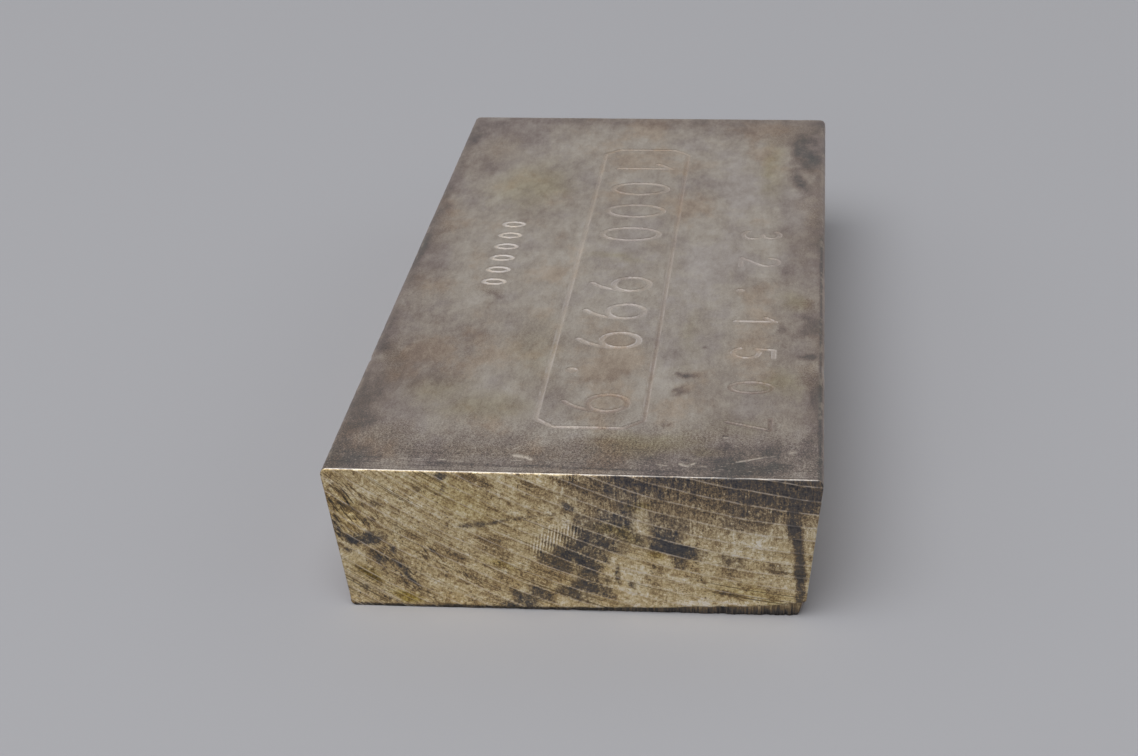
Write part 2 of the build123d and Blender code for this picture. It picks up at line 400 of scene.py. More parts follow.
TOP_STREAKS = (
    (-15, -56.6, -8, -56.9, 0.75, 0.8), (-8, -56.9, 2, -57.1, 0.7, 0.8), (2, -57.1, 11, -57.4, 0.6, 0.75),
    (-7, -56.3, 1, -56.5, 0.22, 0.4), (-24.5, -54.4, -21.5, -55, 1.2, 0.8), (18.6, -56, 23, -55.6, 1.1, 0.7),
    (-15, -54.6, -12.6, -54.9, 0.4, 0.4), (-24, -57.6, -18, -57.5, 0.35, 0.35), NICK,
    (12.1, -45.7, 12.1, -47.1, 0.36, 1), (15.7, -45.2, 15.5, -48.5, 0.22, 0.45),
    (15.4, -48.8, 15.9, -48.9, 0.3, 0.9), (25.65, -58, 25.55, -36, 0.5, 1.2), (25.6, -36, 25.6, 10, 0.45, 1),
    (-25.9, -58, -25.85, -20, 0.45, 0.5),
)
TOP_SCRATCHES = (
    (-6, -54.4, -4.9, -54.7, 0.5, 1.3), (-4.9, -54.7, -4.3, -55.3, 0.4, 1.1),
    (-6.2, -55.7, -5.3, -55.6, 0.2, 0.5), (-6.3, -52.9, -5.7, -52.2, 0.18, 0.5),
    (17.1, -54.8, 18.4, -54.3, 0.26, 0.8), (18.4, -54.2, 19.6, -53.7, 0.2, 1),
    (19.6, -53.7, 21, -53.3, 0.16, 0.5), (22.6, -52.4, 22.9, -52.2, 0.5, 0.55),
    (11.3, -55.5, 11.6, -55.75, 0.3, 1.8), (11.9, -55.9, 12.1, -55.85, 0.3, 1.8),
    (12.5, -55.5, 12.7, -55.3, 0.24, 1.6), (13.4, -55.9, 13.9, -56, 0.22, 0.6),
    (-17.9, -55.7, -17.3, -55.7, 0.18, 0.7), (-16.6, -55.7, -15.9, -55.8, 0.16, 0.5),
    (-13.9, -55.8, -13.3, -55.8, 0.2, 0.9), (-12, -56, -11.3, -56.1, 0.16, 0.5),
    (9, -55.8, 9.9, -56, 0.18, 0.7), (15.6, -49.1, 15.9, -49.1, 0.24, 0.9),
)


def wandered(x, y, reach, seed):
    """Places pushed about by smooth noise, so that what is drawn there comes out irregular."""
    def push(k):
        broad = noise(x / (3 * reach), y / (3 * reach), seed + k)
        return reach * (broad + 0.45 * noise(x / reach, y / reach, seed + k + 7))
    return x + push(0), y + push(1)


def spots(x, y, table, reach, seed):
    """How strongly each point is covered by a table of leaning oval stains, pushed out of shape."""
    cover = np.zeros(len(x))
    wandered_x, wandered_y = wandered(x, y, reach, seed)
    for cx, cy, half_x, half_y, strength, *lean in table:
        turn = math.radians(sum(lean))
        share = min(1.0, 0.8 * min(half_x, half_y) / reach)
        to_x, to_y = x + share * (wandered_x - x) - cx, y + share * (wandered_y - y) - cy
        u = to_x * math.cos(turn) + to_y * math.sin(turn)
        v = to_y * math.cos(turn) - to_x * math.sin(turn)
        gap = np.hypot(u / half_x, v / half_y)
        cover = np.maximum(cover, strength * smooth(gap, 1.8, 0.2))
    return cover


def bands(x, ridge, table):
    """How strongly each point is covered by a table of stains that lie between two ridges."""
    cover = np.zeros(len(x))
    for band, start, stop, strength in table:
        into = ridge - band
        across = smooth(into, -0.04, 0.08) * smooth(into, 1.04, 0.92)
        length = smooth(x, start - 1.2, start + 0.8) * smooth(x, stop + 1.2, stop - 0.8)
        cover = np.maximum(cover, strength * across * length)
    return cover


def strokes(x, y, table):
    """How strongly each point is covered by a table of straight strokes."""
    cover = np.zeros(len(x))
    for *ends, reach, strength in table:
        cover = np.maximum(cover, strength * smooth(stroke_gap(x, y, *ends), reach, 0))
    return cover


# The lattice's six faces: the two axes each spans, the axis it stands on, which end, whether it winds back
FACES = {
    "near": (0, 2, 1, 0, False),
    "far": (0, 2, 1, 1, True),
    "top": (0, 1, 2, 1, False),
    "base": (0, 1, 2, 0, True),
    "right": (1, 2, 0, 1, False),
    "left": (1, 2, 0, 0, True),
}
COARSEST = {"near": 1, "far": 2, "top": 8, "base": 8, "right": 4, "left": 4}
QUARTERS = np.array([(0, 0), (1, 0), (1, 1), (0, 1)])


def lift(face, cells):
    """Lattice places in three axes for places on one face."""
    a, b, stands, end, _ = FACES[face]
    points = np.empty((len(cells), 3), cells.dtype)
    points[:, a], points[:, b] = cells[:, 0], cells[:, 1]
    points[:, stands] = CELLS[stands] * end
    return points


def allowed(face, points, reach):
    """The largest cell allowed at lattice places whose cells reach so far."""
    limit = np.full(len(points), float(COARSEST[face]))

    def keep(distance, finest, band):
        """Holds cells to the finest size over a band, and lets them grow beyond it."""
        np.minimum(limit, finest + np.maximum(0, distance - reach - band), out=limit)

    stands = FACES[face][2]
    if stands == 1:
        return limit
    to_side = points[:, 2 - stands]
    keep(np.minimum(to_side, CELLS[2 - stands] - to_side), 4 if face == "base" else 2, 3)
    keep(points[:, 1], 1, 0)
    keep(CELLS[1] - points[:, 1], 2, 1)
    if face == "top":
        flat = (points[:, 0] / CELLS[0] - 0.5) * TOP_WIDTH, NEAR_END + points[:, 1] / CELLS[1] * LENGTH
        unit = LENGTH / CELLS[1]
        keep(stamp_distance(*flat)[0] / unit, 1, 0.5)
        keep(points[:, 1], 2, 20)
        for *ends, _, _ in TOP_SCRATCHES:
            keep(stroke_gap(*flat, *ends) / unit, 1, 0)
    return limit


def leaves(face):
    """The cells of one face, cut finer where its relief needs it: their lowest corners, by size."""
    a, b = FACES[face][:2]
    grid = np.meshgrid(np.arange(0, CELLS[a], ROOT), np.arange(0, CELLS[b], ROOT), indexing="ij")
    cells = np.stack([g.ravel() for g in grid], 1)
    size, kept = ROOT, {}
    while len(cells):
        middles = lift(face, cells + size / 2)
        split = size > allowed(face, middles, size * math.sqrt(0.5))
        if size == 1:
            split[:] = False
        kept[size] = cells[~split]
        size //= 2
        cells = (cells[split][:, None] + size * QUARTERS).reshape(-1, 2)
    return kept


def keys(points):
    """One whole number for each lattice place."""
    x, y, z = (points[..., axis].astype(np.int64) for axis in range(3))
    return (x * (CELLS[1] + 1) + y) * (CELLS[2] + 1) + z


def ring(size):
    """Steps round a cell of one size, through every lattice place on its edge."""
    t = np.arange(size)
    sides = ((t, 0 * t), (0 * t + size, t), (size - t, 0 * t + size), (0 * t, size - t))
    return np.concatenate([np.stack(side, 1) for side in sides])


def lattice_mesh():
    """Lattice places and faces of a closed mesh: four-sided cells, and fans where a cell meets finer ones."""
    cut = {face: leaves(face) for face in FACES}
    corners = np.concatenate([
        keys(lift(face, (cells[:, None] + size * QUARTERS).reshape(-1, 2)))
        for face, sizes in cut.items() for size, cells in sizes.items()
    ])
    used = np.unique(corners)
    middles, quads, fans = [], [], []
    count = len(used)
    for face, sizes in cut.items():
        back = FACES[face][4]
        for size, cells in sizes.items():
            if not len(cells):
                continue
            steps = ring(size)
            around = keys(lift(face, (cells[:, None] + steps).reshape(-1, 2))).reshape(len(cells), -1)
            at = np.minimum(np.searchsorted(used, around), len(used) - 1)
            there = used[at] == around
            plain = there.sum(1) == 4
            quad = at[plain][:, ::size]
            quads.append(quad[:, ::-1] if back else quad)
            if plain.all():
                continue
            busy = np.nonzero(~plain)[0]
            middles.append(keys(lift(face, cells[busy] + size // 2)))
            hub = count + np.arange(len(busy))
            count += len(busy)
            rows, cols = np.nonzero(there[busy])
            first = np.searchsorted(rows, np.arange(len(busy)))
            after = np.arange(1, len(rows) + 1)
            after[np.append(first[1:], len(rows)) - 1] = first
            rim = at[busy][rows, cols]
            fan = np.stack((hub[rows], rim, rim[after]), 1)
            fans.append(fan[:, ::-1] if back else fan)
    everything = np.concatenate([used, *middles])
    high, z = np.divmod(everything, CELLS[2] + 1)
    x, y = np.divmod(high, CELLS[1] + 1)
    return np.stack((x, y, z), 1), np.concatenate(quads), np.concatenate(fans)


# Places of the lattice on the bar

# Rows of cells in the torn strip, up to where they are even again, and how many behind the end give way too
TORN_ROWS = 5
WARPED_ROWS = 26
DEEP_ROWS = 14
SET_BACK_ROWS = 9
# Lip of the torn strip: X, Z
LIP = (
    (-24, 0.3), (-14, 0.32), (-3.4, 0.48), (8, 0.75), (10.7, 0.88), (12, 1), (14, 1.1), (18, 1.25), (20, 1.4),
    (22, 1.65), (23.5, 1.88), (26, 1.95),
)


def skin_normals(across, up):
    """Outward directions in the section, for places on its outline."""
    base, right, top, left = section_sides()
    total = np.zeros((len(across), 2))
    for side, there, share in (
        (base, up == 0, across), (right, across == 1, up),
        (top, up == 1, 1 - across), (left, across == 0, 1 - up),
    ):
        total[there] += along(side, share[there])[1]
    return total / np.maximum(np.linalg.norm(total, axis=1), 1e-9)[:, None]


def torn_share(x):
    """0 where the near end is sawn down to its foot, and 1 where the strip at the foot is torn."""
    return smooth(x, LEFT_FOOT + TEAR_MARGIN, LEFT_FOOT + TEAR_MARGIN + TEAR_RUN)


lattice, quads, fans = lattice_mesh()
col, row, level = lattice.T
near, far = row == 0, row == CELLS[1]
skin = (col == 0) | (col == CELLS[0]) | (level == 0) | (level == CELLS[2])
on_top = level == CELLS[2]
across, up = col / CELLS[0], level / CELLS[2]
normal = skin_normals(across, up)

# Rows at the foot of the near end close up or spread, so that one gap between rows follows the torn lip
rough_x = (across - 0.5) * (RIGHT_FOOT - LEFT_FOOT) + (RIGHT_FOOT + LEFT_FOOT) / 2
cell_up = HEIGHT / CELLS[2]
lip = np.interp(rough_x, *zip(*LIP)) + 0.07 * noise(rough_x / 0.9, 0 * rough_x, 11, 2)
lip += (TORN_ROWS * cell_up - lip) * (1 - torn_share(rough_x))
lip_gap = 0.02
below = level <= TORN_ROWS
top_of_warp = WARPED_ROWS * cell_up
low_share = level / TORN_ROWS
high_share = np.clip((level - TORN_ROWS - 1) / (WARPED_ROWS - TORN_ROWS - 1), 0, 1)
above = lip + lip_gap + high_share * (top_of_warp - lip - lip_gap)
warped = np.where(below, low_share * (lip - 2 * lip_gap), above)
warp = np.where(level < WARPED_ROWS, warped - level * cell_up, 0) * smooth(row, DEEP_ROWS, 0)
place = section(across, (level * cell_up + warp) / HEIGHT)
x, z = place.T
y = NEAR_END + row / CELLS[1] * LENGTH
torn = near & below & (torn_share(x) > 0.02)

# Saw marks of both ends
out, way, ridge = saw_grain(x, z, SAW_MIDDLE, 21)
far_out, far_way, far_ridge = saw_grain(x, z, FAR_SAW_MIDDLE, 31)
ridge = np.where(far, far_ridge, ridge)
out = np.where(far, far_out, out)
way = np.where(far, far_way, way)
sawn = (near | far) & ~torn

# Between two ridges the metal is deepest just past the first, and rises to the next
step = np.floor(ridge)
into = ridge - step
deep = (SAW_DEPTH + 0.02 * noise(way / 5, step * 3.7, 41)) * smooth(into, 0, 0.12) * (1 - into) ** 0.8
quiet = 1 - 0.75 * smooth(x, -3, -9) * smooth(z, 6, 10) * near
full_foot = 1 - 0.8 * near * smooth(z, 1.0, 0.2)
sunk = deep * quiet + SAW_UNEVEN * (1 + noise(x / 4, z / 3, 43, 2))
sunk += SAW_PITS * smooth(noise(x / 0.5, z / 0.4, 47), 0.45, 0.9)
sunk *= np.where(torn, 1 - torn_share(x), near | far) * full_foot
sunk += near * strokes(x, z, NEAR_GOUGES)

# Torn strip: it stands back more and more towards the right, and is drawn out in upright streaks
tear = torn_share(x) * TEAR_DEPTH * (x - LEFT_FOOT) / (RIGHT_FOOT - LEFT_FOOT)
streaks = 0.5 * noise(x / 0.55, z / 2.2, 51) + 0.35 * noise(x / 0.24, z / 1.2, 52)
streaks += 0.3 * noise(x / 1.9, z / 1.1, 53)
tear_back = tear * (1 + 0.3 * streaks * near) + TORN_STREAKS * torn_share(x) * (1 + streaks)
tear_back += 0.12 * smooth(np.hypot((x - RIGHT_FOOT) / 1.7, z / 1.6), 1, 0.2)
back = np.where(below, tear_back * np.clip(1 - row / SET_BACK_ROWS, 0, 1), 0)
end_way = near * 1.0 - far
y = y + back + end_way * sunk

# Cast skin of the long faces, and what was stamped and knocked into the wide one
run = x + z
cast = SKIN_SWELL * (1 + noise(run / 7, y / 9, 61, 2)) + SKIN_GRAIN * (1 + noise(run / 1.3, y / 1.6, 62, 2))
cast += SKIN_PITS * smooth(noise(run / 0.9, y / 0.9, 63), 0.62, 0.95) * np.where(on_top, 0.4, 1)
side_ripple = SIDE_RIPPLE * (1 + noise(z / 6, y / 1.6, 64, 2)) * np.where(on_top | (level == 0), 0, 1)
gap, stroke, stamped, stamp_kind = stamp_distance(x, y)
into_stroke = on_top * smooth(gap, stroke / 2 + 0.1, stroke / 2 - 0.14)
cast = np.where(on_top, cast * (1 - 0.7 * smooth(gap, stroke / 2 + 0.7, stroke / 2)), cast)
bared = on_top * strokes(x, y, TOP_SCRATCHES)
knocks = SCRATCH_DEPTH * bared + NICK_DEPTH * on_top * strokes(x, y, [NICK])
level_in = skin * (cast + side_ripple + into_stroke * stamped + knocks)

# Worn corners round both ends, and long edges with a few dents
end_corner = skin & (near | far)
worn = ARRIS * (0.45 + 0.4 * noise(run / 1.1, 0 * run, 71, 2) ** 2) * full_foot
level_in = np.where(end_corner, worn, level_in)
y = y + end_corner * worn * end_way
to_long_edge = np.minimum(np.hypot(x - HALF_WIDTH, z - HEIGHT), np.hypot(x + HALF_WIDTH, z - HEIGHT))
dents = DENT_DEPTH * smooth(noise(y / 1.4, 0 * y + 0.5, 73, 2), 0.42, 0.8) * smooth(to_long_edge, 1.4, 0.1)
level_in += skin * dents
x, z = (place - normal * level_in[:, None]).T

# The torn strip's own corner at the right foot is broken away
lost = CORNER_STEP * smooth(z, 2.15, 1.7) + CORNER_LEAN * smooth(z, 1.9, 0.2)
lost *= smooth(y, NEAR_END + 3.0, NEAR_END) * np.clip((x - RIGHT_FOOT + 4) / 4, 0, 1) ** 2
x = x - lost


# Tarnish of each point, with painted shade at the feet of the near end and the torn strip and painted light
# and shade in the panel line: 0 is clean silver, 0.3 straw, 0.5 brown and 0.8 slate, as the film on it
# thickens

SAWN_FILM = 0.24
CAST_FILM = 0.39
TORN_FILM = 0.46
# How far the stains of each face are pushed out of shape, and a seed
NEAR_WANDER = 0.5, 90
TOP_WANDER = 1.3, 95
KINDS = ("slate", "brown", "olive", "pale", "shade")


def stain(kind):
    """Cover of one kind of stain over the near end and the wide face."""
    cover = np.zeros(len(x))
    cover[near] = spots(x[near], z[near], NEAR_STAINS.get(kind, ()), *NEAR_WANDER)
    near_u = wandered(x[near], z[near], *NEAR_WANDER)[0]
    cover[near] = np.maximum(cover[near], 0.8 * bands(near_u, ridge[near], BAND_STAINS.get(kind, ())))
    cover[on_top] = spots(x[on_top], y[on_top], TOP_STAINS[kind], *TOP_WANDER)
    if kind == "slate":
        cover[near] = np.maximum(cover[near], strokes(x[near], z[near], NEAR_STREAKS))
        cover[on_top] = np.maximum(cover[on_top], strokes(x[on_top], y[on_top], TOP_STREAKS))
    return cover


def by_stamp(*values):
    """For each point, the value of the stamp nearest to it: panel line, middle row, right row or left row."""
    return np.choose(stamp_kind.astype(int), [value + 0 * x for value in values])


slate, brown, olive, pale, shade = (stain(kind) for kind in KINDS)
trough = smooth(into, 0, 0.15) * (1 - into)

sawn_tarnish = SAWN_FILM + 0.05 * noise(x / 5, z / 2.5, 101, 2) + 0.1 * trough
sawn_tarnish += 0.06 * smooth(noise(way / 2.5, step * 2.3, 102), 0, 0.5) * trough * 2
upper_right = smooth(x, -3, 8) * smooth(z, 9.5, 15.5)
sawn_tarnish += 0.27 * near * upper_right
sawn_tarnish -= 0.02 * near * smooth(x, -6, 3)
cast_tarnish = CAST_FILM + 0.07 * noise(run / 8, y / 12, 103, 2) + 0.05 * noise(run / 2.2, y / 3, 104, 2)
cast_tarnish += 0.1 * smooth(y, NEAR_END + 14, NEAR_END + 1) * (1 + 0.5 * noise(x / 4, y / 2, 105, 2))
cast_tarnish += 0.13 * smooth(to_long_edge, 2.8, 0.4) * (1 + noise(y / 6, z / 6, 106, 2))

tarnish_and_shade = np.where(sawn | torn, sawn_tarnish, cast_tarnish)
tarnish_and_shade += 0.2 * smooth(noise(run / 5, y / 16, 81, 4), 0.0, 0.7) * (skin & ~near & ~on_top)
far_patches = smooth(noise(far_way / 3.5, np.floor(far_ridge) * 3.1, 84), 0.0, 0.5)
far_slate = 0.72 * far_patches * smooth(far_ridge % 1, 0, 0.1) * smooth(noise(x / 9, z / 6, 85), -0.4, 0.5)
slate[far] = far_slate[far]
olive = olive * np.where(near, smooth(z, 0.1, 0.8), 0.7)
tarnish_and_shade = tarnish_and_shade - pale * np.where(near, 0.3, 0.12) + 0.12 * olive * near + (0.15 * shade - 0.025) * on_top
tarnish_and_shade = tarnish_and_shade + np.where(near, 2.3 * strokes(x, z, NEAR_GOUGES), -0.2 * bared)
# Painted contact shadow: the near end darkens along its foot, where it meets the floor
tarnish_and_shade = tarnish_and_shade + 0.7 * near * smooth(z, 0.42, 0.16)
# The torn strip's film: its own tarnish and streaks, plus painted contact shade that darkens it towards its
# foot
tear_tarnish_and_shade = TORN_FILM + 0.44 * smooth(z, 1.9, 0.1) ** 2 + 0.1 * streaks
tarnish_and_shade = np.where(torn, tarnish_and_shade + (tear_tarnish_and_shade - tarnish_and_shade) * torn_share(x), tarnish_and_shade)
worn_stamp = smooth(y, 40, -35)
dulled = smooth(y, -28, -40)
# Painted light and shade in the panel line: its left side is lighter and its right side darker, more so
# towards the near end
panel_line_light_and_shade = np.where(x > 0, 0.13 * smooth(y, 0, -35), -0.06)
tarnish_and_shade = tarnish_and_shade + into_stroke * by_stamp(panel_line_light_and_shade, -0.05 + 0.14 * dulled, -0.03 + 0.18 * dulled, -0.3)

# Rim of both ends: worn bare metal that also carries a painted highlight where the rounded edge would catch
# the light, left off near the foot
end_edge = smooth(np.minimum(y - LOW[1], HIGH[1] - y), 0.23, 0.07)
rim = np.where(skin, end_edge, near * smooth(HEIGHT - z, 0.2, 0.08)) * smooth(z, 0.8, 2.5)
crisp = np.where(on_top, 0.3 + 0.3 * smooth(y, 20, -30) + 1.2 * smooth(y, -42, -53), 0.5)
upright = near * smooth(x, -6, 3) * (0.25 + 0.75 * smooth(z, 6, 11))

# How strongly the banks of each stamp get their painted highlight: fainter on the far stamps, full on the
# left row
bank_highlight_share = by_stamp(
    0.22 + 0.3 * worn_stamp,
    0.42 + 0.45 * worn_stamp - 0.45 * dulled,
    0.4 + 0.4 * worn_stamp - 0.5 * dulled,
    1.0,
)

# What the material reads at each point
fields = {
    "tarnish_and_shade": tarnish_and_shade, "slate": slate, "brown": brown, "olive": olive, "rim": rim, "ridge": ridge,
    "stamp": into_stroke, "bank_highlight_share": bank_highlight_share, "crisp": crisp,
    "bared": np.maximum(bared, 0.75 * into_stroke * (stamp_kind == 3)),
    "comb": near * spots(x, z, COMB, 0.1, 97),
    "scored": near * spots(x, z, SCORED, *NEAR_WANDER),
    "near_band": on_top * smooth(y, NEAR_END + 7, NEAR_END + 2),
    "long_edge": skin * smooth(to_long_edge, 1.1, 0.5),
    "sawn": (near | far) - torn * torn_share(x),
    "torn": torn * torn_share(x),
    "cool": sawn * (1 - 0.6 * smooth(x, 14, 20)),
    # Where the saw crests get their painted highlight: less along the dark streaks
    "crest_highlight": sawn * (1 - 0.75 * near * np.minimum(1, strokes(x, z, NEAR_STREAKS))),
    "upright": upright * (1 + 0.5 * upper_right * near),
}
grain = np.where(
    (near | far)[:, None],
    np.stack((out, way, 0 * out), 1),
    np.stack((run, y, 0 * run), 1),
)


def link(made):
    bpy.context.scene.collection.objects.link(made)
    return made


def make_bar():
    """The mesh of the bar, smooth shaded, with its fields for the material to read."""
    mesh = bpy.data.meshes.new("silver_bar")
    loops = np.concatenate((quads.ravel(), fans.ravel()))
    starts = np.concatenate((np.arange(len(quads)) * 4, len(quads) * 4 + np.arange(len(fans)) * 3))
    mesh.vertices.add(len(x))
    mesh.vertices.foreach_set("co", (np.stack((x, y, z), 1) * MM).astype(np.float32).ravel())
    mesh.loops.add(len(loops))
    mesh.loops.foreach_set("vertex_index", loops.astype(np.int32))
    mesh.polygons.add(len(starts))
    mesh.polygons.foreach_set("loop_start", starts.astype(np.int32))
    mesh.update(calc_edges=True)
    mesh.shade_smooth()
    for name, values in fields.items():
        kept = mesh.attributes.new(name, "FLOAT", "POINT")
        kept.data.foreach_set("value", values.astype(np.float32))
    kept = mesh.attributes.new("grain", "FLOAT_VECTOR", "POINT")
    kept.data.foreach_set("vector", grain.astype(np.float32).ravel())
    mesh.validate()
    return link(bpy.data.objects.new("silver_bar", mesh))


# Materials

# Colour of the film as it thickens, on cut metal and on cast skin: film, then red, green and blue of 255
FILM_ON_CUT = (
    (0.0, 250, 243, 228), (0.14, 236, 222, 186), (0.3, 212, 192, 148), (0.42, 184, 162, 124),
    (0.55, 149, 127, 95), (0.68, 116, 98, 74), (0.82, 90, 82, 72), (1.0, 54, 50, 47),
)
FILM_ON_CAST = (
    (0.0, 246, 240, 230), (0.2, 222, 212, 200), (0.36, 199, 186, 172), (0.5, 168, 151, 140),
    (0.64, 133, 120, 113), (0.8, 100, 98, 95), (1.0, 75, 75, 72),
)
# Bare and rubbed metal that shows over the film, and painted highlights on the saw crests, bright lines, rim
# and stamped banks
SAW_CREST_HIGHLIGHT = 230, 216, 202
DARK_LINE = 92, 78, 60
GLINT_LINE = 238, 224, 198
WORN_RIM_HIGHLIGHT = 218, 212, 206
BARE_SILVER = 250, 236, 220
RUBBED_EDGE = 220, 202, 184
STAMP_BANK_HIGHLIGHT = 236, 230, 226
# Tints that multiply the film's colour
WARM_SKIN = 255, 237, 216
COOL_SKIN = 234, 232, 244
BROWN_SKIN = 255, 240, 212
WARM_CUT = 252, 238, 208
COOL_SLATE = 224, 241, 276
COOL_UPRIGHT = 238, 243, 270
OLIVE = 232, 226, 155
# Metallic and roughness of clean silver, and the same under thick film
METALLIC = 0.96, 0.6
ROUGHNESS = 0.34, 0.52
TOOTH_TURN = 19.0  # turn of the tooth marks' wave in each millimetre, in radians
FLOOR_GREYS = (186, 186, 190), (189, 189, 192)


def linear(*colour):
    """A colour of 0 to 255 in the light of the scene."""
    shares = [c / 255 for c in colour]
    return tuple(s / 12.92 if s <= 0.04045 else ((s + 0.055) / 1.055) ** 2.4 for s in shares) + (1.0,)


def grey(light):
    return light, light, light, 1.0


class Shader:
    """Short calls for the nodes of one material or world, and the inputs of the node that they feed."""

    def __init__(self, holder, main="Principled BSDF"):
        holder.use_nodes = True
        self.tree = holder.node_tree
        self.inputs = self.tree.nodes[main].inputs

    def node(self, kind, inputs=(), **settings):
        made = self.tree.nodes.new(kind)
        for key, value in settings.items():
            setattr(made, key, value)
        for key, value in dict(inputs).items():
            self.feed(made.inputs[key], value)
        return made

    def feed(self, socket, value):
        if isinstance(value, bpy.types.NodeSocket):
            self.tree.links.new(value, socket)
        else:
            socket.default_value = value

    def field(self, name):
        return self.node("ShaderNodeAttribute", attribute_name=name).outputs["Fac"]

    def math(self, operation, *values, clamp=False):
        return self.node("ShaderNodeMath", enumerate(values), operation=operation, use_clamp=clamp).outputs[0]

    def chain(self, operation, values):
        result = values[0]
        for value in values[1:]:
            result = self.math(operation, result, value)
        return result

    def sum(self, *values):
        return self.chain("ADD", values)

    def times(self, *values):
        return self.chain("MULTIPLY", values)

    def less(self, value, taken):
        return self.math("SUBTRACT", value, taken)

    def about(self, noise, size):
        """A noise swung about zero."""
        return self.times(self.less(noise, 0.5), size)

    def step(self, value, low, high, start=0.0, stop=1.0):
        """A soft step of a value from low to high, between two results."""
        ends = {"Value": value, "From Min": low, "From Max": high, "To Min": start, "To Max": stop}
        return self.node("ShaderNodeMapRange", ends, interpolation_type="SMOOTHSTEP").outputs[0]

    def mix(self, share, first, second, blend="MIX"):
        made = self.node("ShaderNodeMix", data_type="RGBA", blend_type=blend, clamp_factor=True)
        for place, value in ((0, share), (6, first), (7, second)):
            self.feed(made.inputs[place], value)
        return made.outputs[2]

    def lay(self, under, colour, *shares):
        """A colour laid over another, by the product of some shares."""
        return self.mix(self.times(*shares), under, linear(*colour))

    def tint(self, under, colour, *shares):
        """A colour multiplied into another, by the product of some shares."""
        return self.mix(self.times(*shares), under, linear(*colour), "MULTIPLY")

    def scaled(self, vector, *sizes):
        return self.node("ShaderNodeMapping", {"Vector": vector, "Scale": sizes}).outputs[0]

    def turned(self, vector, degrees):
        """Places turned about Y."""
        ends = {"Vector": vector, "Rotation": (0, math.radians(degrees), 0)}
        return self.node("ShaderNodeMapping", ends).outputs[0]

    def noise(self, vector, scale, detail=3.0, roughness=0.55):
        ends = {"Vector": vector, "Scale": scale, "Detail": detail, "Roughness": roughness}
        return self.node("ShaderNodeTexNoise", ends).outputs["Fac"]

    def ramp(self, value, stops, read=linear):
        """The colour for a value, from stops that each give a place and a colour."""
        made = self.node("ShaderNodeValToRGB", {"Fac": value})
        points = made.color_ramp.elements
        for place, *colour in stops[1:-1]:
            points.new(place).color = read(*colour)
        points[0].color, points[-1].color = read(*stops[0][1:]), read(*stops[-1][1:])
        return made.outputs["Color"]

    def along(self, axis, vector):
        return self.node("ShaderNodeSeparateXYZ", {"Vector": vector}).outputs[axis]


